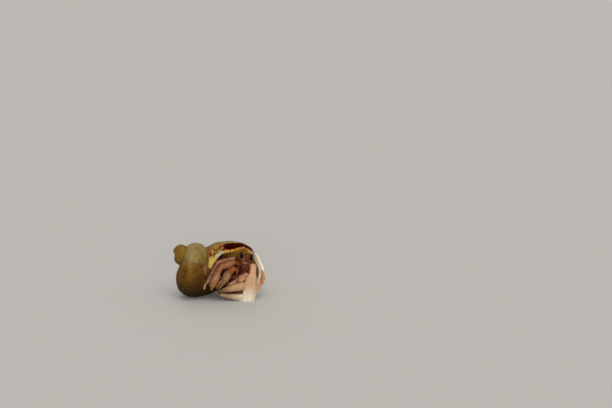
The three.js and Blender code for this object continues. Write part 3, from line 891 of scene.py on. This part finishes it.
# %% [markdown]
# Behind the face are the shield, the mouth, the roots of the limbs, the soft rear of the body with
# its little fourth and fifth legs, and the abdomen, which coils with the shell.  Only the shield and
# the roots show, but the skin is whole.

# %% Body
SHIELD = paint("#5c260a", "#7a4216", "#5a2408", spots=1.5)
SOFT = paint("#b98a78", "#a87868", "#b98a78")

body = [
    Length((9.8, -6.1, 14.0), (7.8, -0.6, 14.0), 4.8, 3.9, side=UP, keel=0.06, square=0.25, **SHIELD),
    # The mouth and the body behind the face are wine red, partly as painted shade filling the hollow behind
    # the limbs.
    Length((8.6, -5.8, 10.8), (7.2, -1.0, 10.5), 3.6, 2.6, side=UP, **WINE),
    Length((8.9, -5.0, 12.3), (6.2, 0.6, 12.0), 4.0, 3.8, side=UP, **WINE),
    Length((8.5, -3.1, 6.9), (2.2, -2.8, 8.3), 5.1, 4.5, side=UP, blunt=0.5, **WINE),
    Length((7.2, 0.6, 12.0), (2.9, 0.6, 11.2), 4.0, 3.8, side=UP, **SOFT),
    Length((7.0, -2.6, 12.9), (5.2, -3.3, 14.9), 1.4, **SHIELD),                    # roots of limbs
    Length((7.6, -4.4, 12.6), (5.6, -5.9, 13.9), 1.8, **SHIELD),
    Length((7.8, -4.6, 11.2), (6.8, -6.9, 11.1), 1.4, **OCHRE),
    Length((9.2, -3.0, 11.2), (11.6, -2.3, 9.8), 1.7, **MAUVE),
    Length((8.8, -2.0, 10.6), (10.9, -1.2, 8.0), 1.4, **DUSKY),
    Length((9.4, -3.6, 12.2), (13.1, -3.5, 11.5), 1.7, **CREAM),
    Length((6.6, -1.8, 11.6), (2.8, -3.6, 13.0), 0.9, taper=0.7, **SOFT),           # little legs
    Length((8.4, -0.4, 11.6), (9.4, 2.0, 8.8), 0.9, taper=0.7, **SOFT),
    Length((6.2, -1.0, 13.0), (2.2, 0.8, 13.9), 0.7, taper=0.8, **SOFT),
    Length((7.6, 0.0, 13.2), (7.0, 3.2, 14.6), 0.7, taper=0.8, **SOFT),
]
COIL_START, COIL_END = -0.13, -0.83             # turns
COIL_FILL, COIL_NARROWS = 0.4, 0.16             # shares of the tube's width
COIL_RIBS, COIL_RIB = 9, 0.03


def coil(bm):
    """The abdomen: a ball drawn out along the middle of the wound tube."""
    for vert in bmesh.ops.create_uvsphere(bm, u_segments=20, v_segments=26, radius=1)["verts"]:
        part = (1 - vert.co.z) / 2
        turned = math.atan2(vert.co.y, vert.co.x)
        girth = math.hypot(vert.co.x, vert.co.y) ** 0.5 * (COIL_FILL - COIL_NARROWS * part)
        girth *= 1 + COIL_RIB * math.cos(math.tau * COIL_RIBS * part)
        vert.co = on_spiral(COIL_START + (COIL_END - COIL_START) * part, turned, girth)


skin_lengths = walking_lengths + arm_lengths + face + body
print(len(skin_lengths), "lengths in the skin")

# %% [markdown]
# At its joints a crab's skin is soft and runs on from one plate to the next.  So all the lengths are
# drawn into one form, and a remesh gives it one skin without seams.

# %% One skin over all of it
SKIN_VOXEL = 0.13

skin_bm = bmesh.new()
for length in skin_lengths:
    length.model(skin_bm)
coil(skin_bm)
skin_bm = remeshed(skin_bm, SKIN_VOXEL, 1)
print("skin:", len(skin_bm.faces), "faces")

# %% [markdown]
# Each length has a face, a back, an underside, a far end and a tip of its own colour.  The nearest
# length to each point of the skin gives those, and the directions along and round it, which the
# material uses for streaks and spots.

# %% Paint that follows the lengths
PATTERN_STEP = 13.7             # mm between the patterns of two lengths, so that no two are alike


def paint_by_lengths(piece, points, lengths):
    """Stores the colour, and the place along and round the nearest length, at every point."""
    best = np.full(len(points), 1e9)
    tint, limb = np.zeros((len(points), 3)), np.zeros((len(points), 3))
    joint, spots = np.zeros(len(points)), np.zeros(len(points))
    for index, length in enumerate(lengths):
        off, part, turned = length.reach(points)
        nearer = off < best
        colour = np.tile(length.tint, (len(points), 1))
        layers = (
            (length.far, smoothly(part, length.far_from, length.far_from + 0.43)),
            (length.back, smoothly(np.sin(turned), 0.35, 0.95)),
            (length.under, smoothly(-np.sin(turned), 0.45, 0.9)),
            (length.tip, smoothly(part, 0.76, 0.96)),
        )
        for layer, share in layers:
            if layer:
                colour = colour * (1 - share[:, None]) + np.array(layer) * share[:, None]
        tint[nearer] = colour[nearer]
        along = part * length.span + PATTERN_STEP * index
        place = np.stack([along, np.cos(turned), np.sin(turned)], axis=1)
        limb[nearer] = place[nearer]
        ends = np.minimum(part, 1 - part) * length.span
        # Darker towards the ends of each length: partly soft skin at the joints, partly painted shade where
        # lengths meet.
        joint[nearer] = (1 - smoothly(ends, 0.1, 0.45))[nearer]
        spots[nearer] = length.spots
        best[nearer] = off[nearer]
    store(piece, tint=tint, limb=limb, joint=joint, spots=spots)


skin_points = points_of(skin_bm)
crab_skin = set_down(skin_bm, "crab_skin")
paint_by_lengths(crab_skin, skin_points, skin_lengths)
print("crab_skin:", len(crab_skin.data.polygons), "faces, painted by its lengths")

# %% [markdown]
# The one skin takes the place of every solid of flesh, but not of the hands, which are plates of
# their own, and not of the eyes.

# %% Skin stands for the flesh
PAIRED = ("claw_merus", "claw_carpus", "eyestalk", "antennule", "antenna_base", "antenna", "mouthpart",
          "fourth_leg", "fifth_leg")

flesh = ["shield", "mouth", "leg_bases", "rear_carapace"]
flesh += ["abdomen_front", "abdomen_middle", "abdomen_rear", "tail_fan"]
flesh += [f"{name}_{part}" for name in legs for part in ("merus", "carpus", "propodus", "dactyl")]
flesh += [f"{side}_{part}" for side in ("left", "right") for part in PAIRED]
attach(crab_skin, "root")
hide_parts(*flesh)
print("the skin stands for", len(flesh), "solids")

# %% [markdown]
# The hard skin is dull and finely granular, streaked along each length, with brown spots on its
# upper edges and darker joints, dark partly as soft skin and partly as painted shade where the
# lengths meet.  The claws have the same finish with almost no spots.

# %% The skin's finish
def skin_finish(name, spot_colour, joint_and_shade_colour, gloss, streaked):
    material, tree, shader, place = start_material(
        name, IOR=1.45, Specular_IOR_Level=0.15, Subsurface_Weight=0.1, Subsurface_Scale=0.0005)
    shader.inputs["Subsurface Radius"].default_value = (1.0, 0.45, 0.25)
    tint = attribute(tree, "tint").outputs["Vector"]
    limb = attribute(tree, "limb").outputs["Vector"]
    joint = attribute(tree, "joint").outputs["Fac"]
    spotted = attribute(tree, "spots").outputs["Fac"]
    upper = mask(tree, add(tree, "SeparateXYZ", {"Vector": limb}).outputs["Z"], -0.1, 0.9)
    streaks = mottle(tree, limb, 1, (0.5, 2.6, 2.6), 3)
    spots = mask(tree, mottle(tree, place, 2000, detail=2), 0.52, 0.64)
    freckles = mask(tree, mottle(tree, place, 3800, detail=2), 0.6, 0.72)
    clouds = mottle(tree, place, 420)
    cells = add(tree, "TexVoronoi", {"Vector": place, "Scale": 3600}).outputs["Distance"]
    darker = blend(tree, 1.0, tint, "#b3927a", "MULTIPLY")
    upper_spots = maths(tree, "MULTIPLY", spots, maths(tree, "MULTIPLY_ADD", upper, 0.8, 0.1))
    colour = coats(
        tree, tint,
        (mask(tree, streaks, 0.4, 0.72), streaked, darker),
        (mask(tree, clouds, 0.45, 0.8), 1, blend(tree, 0.18, tint, "#e8c8a8")),
        (maths(tree, "MULTIPLY", upper_spots, spotted), 1, spot_colour),
        (freckles, 0.6, darker),
        # Joints: partly soft skin, partly painted shade between the lengths.
        (joint, 0.55, joint_and_shade_colour))
    roughness = maths(tree, "MULTIPLY_ADD", clouds, 0.25, gloss)
    relief = maths(tree, "SUBTRACT", maths(tree, "MULTIPLY", streaks, 0.6), cells)
    finish_material(tree, shader, colour, roughness, relief, 0.45, 0.07)
    return material


skin_material = skin_finish("granular_skin", "#40200e", "#4c1a08", 0.48, 0.7)
claw_material = skin_finish("claw_plate", "#9c7a56", "#a87a54", 0.4, 0.3)
crab_skin.data.materials.append(skin_material)
print("the skin is painted")

# %% [markdown]
# The pincers are the hardest plates and stay separate.  Each hand is a palm with a fixed finger, and
# the thumb closes on it.  On the large one a pale web joins the palm to the fixed finger, and a soft
# hinge lies between the roots of the fingers, almost black, partly as membrane and partly as painted
# shade in the gap there.  The faces of the two fingers towards that gap are painted dark as shade.
# Blunt teeth stand along the biting edges.

# %% Pincers
PALE = paint("#b4906e", None, "#d0c6b2", far_from=0.32, spots=0.2)
WEB = paint("#cabca2", None, "#c4b498", spots=0.2)
# Almost black: partly the soft membrane, partly painted shade in the gap at the fingers' roots.
MEMBRANE_AND_SHADE = paint("#34180a", None, "#34180a")
# The dark back of the fixed finger and the dark underside of the thumb are painted shade in the gap between
# them.
FIXED = paint("#bcab8e", "#3a1a08", "#806748", far_from=0.25, tip="#4c321c", spots=0.2)
PEACH = paint("#a67e58", "#a07a56", "#6c4f32", under="#4c2610", far_from=0.4, tip="#40281a", spots=0.2)
RIGHT_PALM = paint("#744820", "#5a3214", "#6a4420", spots=0.6)
RIGHT_FINGER = paint("#76502c", "#57351a", "#5c3c20", tip="#2e1a0c", spots=0.6)
BITING_DOWN, BITING_UP = math.radians(-90), math.radians(90)
TEETH, FIRST_TOOTH, LAST_TOOTH = 8, 0.3, 0.85   # the places are shares of the finger's length
HAND_VOXEL = 0.11


def teeth(bm, length, turned, size):
    """Blunt teeth along one side of a finger, smaller towards its tip."""
    for k in range(TEETH):
        share = k / (TEETH - 1)
        middle = length.point(FIRST_TOOTH + (LAST_TOOTH - FIRST_TOOTH) * share, turned, 0.96)
        radius = size * (1 - 0.45 * share)
        bmesh.ops.create_icosphere(bm, subdivisions=2, radius=radius, matrix=Matrix.Translation(middle))


palm = Length((12.4, -8.1, 10.5), (10.0, -8.5, -2.2), 4.5, 3.7, taper=1.33, blunt=0.68, square=0.2, **PALE)
web = Length((11.4, -8.7, 1.3), (6.4, -9.2, 1.5), 3.6, 2.3, taper=0.8, blunt=0.9, **WEB)
# The hinge fills the dark gap between the fingers' roots, partly as painted shade.
hinge_in_shade = Length((10.4, -8.6, 3.7), (7.4, -8.8, 3.5), 2.0, 1.0, side=UP, **MEMBRANE_AND_SHADE)
fixed_finger = Length(
    (11.0, -8.6, 1.75), (-1.2, -9.8, 2.95), 3.4, 4.2, taper=0.2, sag=-0.4, side=UP, **FIXED)
thumb = Length((11.0, -8.9, 5.85), (-0.6, -9.9, 3.65), 2.8, 4.3, taper=0.3, sag=0.1, side=UP, **PEACH)
small_palm = Length((4.15, -10.0, 11.6), (1.5, -11.8, 7.3), 3.2, 2.8, blunt=0.5, side=UP, **RIGHT_PALM)
small_fixed = Length((2.6, -11.4, 8.6), (-0.2, -12.1, 4.8), 1.8, taper=0.3, side=UP, **RIGHT_FINGER)
small_thumb = Length((1.2, -11.7, 8.3), (-0.8, -12.2, 4.9), 1.4, taper=0.35, sag=0.3, side=-RIGHT,
                     **RIGHT_FINGER)
hands = {
    "left_claw_hand": ([palm, web, hinge_in_shade, fixed_finger], "left_claw_palm", (fixed_finger, BITING_UP, 0.34)),
    "left_claw_thumb": ([thumb], "left_claw_finger", (thumb, BITING_DOWN, 0.3)),
    "right_claw_hand": ([small_palm, small_fixed], "right_claw_palm", (small_fixed, math.pi, 0.16)),
    "right_claw_thumb": ([small_thumb], "right_claw_finger", (small_thumb, BITING_DOWN, 0.14)),
}

for name, (lengths, node, (finger, biting, tooth)) in hands.items():
    bm = bmesh.new()
    for length in lengths:
        length.model(bm, 32, 24)
    teeth(bm, finger, biting, tooth)
    bm = remeshed(bm, HAND_VOXEL, 6)
    stop_at_floor(bm)
    points = points_of(bm)
    hand = set_down(bm, name)
    paint_by_lengths(hand, points, lengths)
    hand.data.materials.append(claw_material)
    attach(hand, "root")
    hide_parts(node)
    print(name + ":", len(hand.data.polygons), "faces")

# %% [markdown]
# Granules and bristles are thousands of copies of two small forms, so one function sets them all.
# A seeded draw gives the roots, the same in every run.  Each copy has a tiny patch on a map called
# OFBake, at its root's place on an unwrap of the limbs: a grid with one cell for each length, with
# the angle round it across and the way along it up.

# %% Copies of a small form
ROOT_PATCH, CELLS, CELL_EDGE = 0.003, 6, 0.05
ON_UPPER_EDGE, EDGE_SPREAD = 0.45, 0.5


def small_form(operator, name, **sizes):
    """A small mesh made by one bmesh operator, ready to be copied."""
    bm = bmesh.new()
    operator(bm, **sizes)
    smooth_faces(bm)
    return mesh_of(bm, name)


def standing(point, direction, *size):
    """Puts a copy of a small form at a point, with its Z axis along a direction."""
    turn_up = UP.rotation_difference(direction).to_matrix().to_4x4()
    return Matrix.Translation(point) @ turn_up @ Matrix.Diagonal((*size, 1))


def patch_at(index, part, turned):
    """The place of a root on the unwrap of the limbs."""
    cell = Vector((index % CELLS, index // CELLS))
    within_cell = Vector((turned / math.tau % 1, part)) * (1 - 2 * CELL_EDGE)
    return (cell + Vector((CELL_EDGE, CELL_EDGE)) + within_cell) / CELLS


def roots(lengths, per_square_mm, draw, first=0.08, last=0.95):
    """Random places on some lengths, more of them on the upper edge: length, part, angle round."""
    found = []
    for index, length in enumerate(lengths):
        # A length with round ends has about 0.8 of the surface of an open tube.
        area = 0.4 * math.pi * (length.thick + length.deep) * length.span * (1 + length.taper) / 2
        for _ in range(round(area * per_square_mm)):
            on_edge = draw.random() < ON_UPPER_EDGE
            turned = draw.gauss(math.pi / 2, EDGE_SPREAD) if on_edge else draw.uniform(0, math.tau)
            found.append((index, draw.uniform(first, last), turned))
    return found


def scattered(name, form, rooted, axes):
    """One piece with a copy of a small form at each place, and its points as they were drawn."""
    joined = bmesh.new()
    for place, _ in rooted:
        copy = form.copy()
        copy.transform(place)
        joined.from_mesh(copy)
        bpy.data.meshes.remove(copy)
    stop_at_floor(joined)
    points = points_of(joined)
    piece = set_down(joined, name)
    # Each copy is laid on its own patch of the map, as it looks along one axis.
    corners = np.array([form.vertices[loop.vertex_index].co[:] for loop in form.loops])[:, axes]
    corners = (corners - corners.min(axis=0)) / (corners.max(axis=0) - corners.min(axis=0)) * ROOT_PATCH
    unwrapped = np.array([patch[:] for _, patch in rooted])[:, None, :] + corners[None, :, :]
    unwrap = piece.data.uv_layers.new(name="OFBake")
    unwrap.data.foreach_set("uv", unwrapped.astype(np.float32).ravel())
    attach(piece, "root")
    return piece, points


print("a root half way along the first length has its patch at", list(patch_at(0, 0.5, 0.0)))

# %% [markdown]
# Hard crab skin is pebbled with granules, closest along the upper edges.  Each is a low dome, half
# sunk in the skin, and takes the paint of the length it stands on.

# %% Granules
def granules(name, lengths, per_square_mm, smallest, largest, seed, material):
    draw = random.Random(seed)
    rooted = []
    for index, part, turned in roots(lengths, per_square_mm, draw):
        length = lengths[index]
        size = draw.uniform(smallest, largest) * (0.6 + 0.8 * length.girth(part))
        root, outward = length.point(part, turned, 0.99), length.normal(part, turned)
        rooted.append((standing(root, outward, size, size, size * 0.6), patch_at(index, part, turned)))
    dome = small_form(bmesh.ops.create_icosphere, "dome", subdivisions=1, radius=1)
    grains, points = scattered(name, dome, rooted, (0, 1))
    paint_by_lengths(grains, points, lengths)
    grains.data.materials.append(material)
    print(name + ":", len(rooted), "granules,", len(grains.data.polygons), "faces")


head = [body[0], *face[:2]]
plates = [palm, fixed_finger, thumb, small_palm]
granules("limb_granules", walking_lengths + arm_lengths, 3.0, 0.09, 0.15, 11, skin_material)
granules("head_granules", head, 3.4, 0.09, 0.16, 13, skin_material)
granules("claw_granules", plates, 2.2, 0.09, 0.16, 12, claw_material)

# %% [markdown]
# Short stiff bristles stand in small tufts among the granules and lean towards the tip of the leg.
# They are solid three-sided spikes, so that they survive export, and the three spikes of a tuft
# share its patch on the map.

# %% Bristles
BRISTLE_LONG, BRISTLE_THICK = 0.6, 0.035        # mm
IN_TUFT, SPREAD = 3, 0.25


def bristle_tufts(name, lengths, per_square_mm, seed):
    draw = random.Random(seed)
    rooted = []
    for index, part, turned in roots(lengths, per_square_mm, draw, 0.2, 0.88):
        length = lengths[index]
        for _ in range(IN_TUFT):
            lean = length.normal(part, turned) * 0.7 + length.heading * 0.7
            lean += Vector([draw.uniform(-SPREAD, SPREAD) for _ in range(3)])
            size = BRISTLE_THICK, BRISTLE_THICK, BRISTLE_LONG * draw.uniform(0.6, 1.1)
            root = length.point(part, turned, 0.97)
            rooted.append((standing(root, lean.normalized(), *size), patch_at(index, part, turned)))
    cone = bmesh.ops.create_cone
    spike = small_form(cone, "spike", segments=3, radius1=1, radius2=0.1, depth=1, cap_ends=True)
    spike.transform(Matrix.Translation((0, 0, 0.4)))
    coat, _ = scattered(name, spike, rooted, (0, 2))
    store(coat, along=np.tile([vertex.co.z for vertex in spike.vertices], len(rooted)))
    coat.data.materials.append(bristle_finish())
    print(name + ":", len(rooted) // IN_TUFT, "tufts,", len(coat.data.polygons), "faces")


def bristle_finish():
    material, tree, shader, place = start_material("bristle", IOR=1.54)
    along = attribute(tree, "along").outputs["Fac"]
    shade = mottle(tree, place, 900)
    root = blend(tree, shade, "#2e1a0c", "#54341a")
    colour = blend(tree, mask(tree, along, 0.3, 1.0), root, "#96683a")
    finish_material(tree, shader, colour, maths(tree, "MULTIPLY_ADD", shade, 0.3, 0.3), shade, 0.2, 0.01)
    return material


bristle_tufts("leg_bristles", walking_lengths, 0.6, 21)

# %% [markdown]
# Each eye is one smooth, dark, wet-looking oval.  It is made of hundreds of lenses, so its finish
# has a very fine pattern of cells under the gloss.

# %% Eyes
EYE_THICK = 1.2


def eye_finish():
    material, tree, shader, place = start_material(
        "eye_gloss", IOR=1.38, Specular_IOR_Level=0.15, Coat_Weight=0.1, Coat_Roughness=0.08)
    cells = add(tree, "TexVoronoi", {"Vector": place, "Scale": 9000}).outputs["Distance"]
    clouds = mottle(tree, place, 900)
    colour = blend(tree, mask(tree, clouds, 0.5, 0.8), "#040201", "#160803")
    roughness = maths(tree, "MULTIPLY_ADD", clouds, 0.15, 0.16)
    finish_material(tree, shader, colour, roughness, cells, 0.2, 0.01)
    return material


eye_material = eye_finish()
for side, low, high in (
        ("right", (8.4, -7.2, 15.4), (8.2, -7.3, 17.9)),
        ("left", (11.75, -7.3, 14.55), (12.0, -7.3, 17.2))):
    bm = bmesh.new()
    Length(low, high, EYE_THICK).model(bm, 32, 24)
    smooth_faces(bm)
    eye = set_down(bm, side + "_eyeball")
    eye.data.materials.append(eye_material)
    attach(eye, "root")
    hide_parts(side + "_eye")
    print(eye.name, "made")

# %% [markdown]
# The floor is plain.  A broad soft light comes from above and in front.  Another comes low from the
# front, as light does off pale sand, and reaches into the mouth of the shell.  A weak one from
# behind and a dim, even sky fill the rest.

# %% Floor and light
floor_bm = bmesh.new()
bmesh.ops.create_grid(floor_bm, x_segments=1, y_segments=1, size=8)
floor = in_scene("floor", mesh_of(floor_bm, "floor"))

floor_material, floor_tree, floor_shader, floor_place = start_material("pale_floor", Roughness=0.9)
grain = mask(floor_tree, mottle(floor_tree, floor_place, 2600), 0.3, 0.7)
join(floor_tree, floor_shader.inputs["Base Color"], blend(floor_tree, grain, "#aeaca6", "#b5b3ad"))
floor.data.materials.append(floor_material)


def soft_light(name, energy, width, tilt, lean):
    """A wide sun: tilt leans it from overhead towards the front, and lean towards the right."""
    sun = bpy.data.lights.new(name, "SUN")
    sun.energy = energy
    sun.angle = math.radians(width)
    in_scene(name, sun).rotation_euler = (math.radians(tilt), math.radians(lean), 0)


soft_light("overhead", 1.5, 50, 38, 8)
soft_light("off_the_sand", 1.9, 30, 80, -6)
soft_light("from_behind", 0.6, 60, -58, -12)
studio = bpy.data.worlds.new("studio")
studio.use_nodes = True
sky = studio.node_tree.nodes["Background"].inputs
sky["Color"].default_value = (1.0, 0.99, 0.97, 1)
sky["Strength"].default_value = 0.48
scene.world = studio
scene.view_settings.view_transform = "Standard"
print("studio is lit")
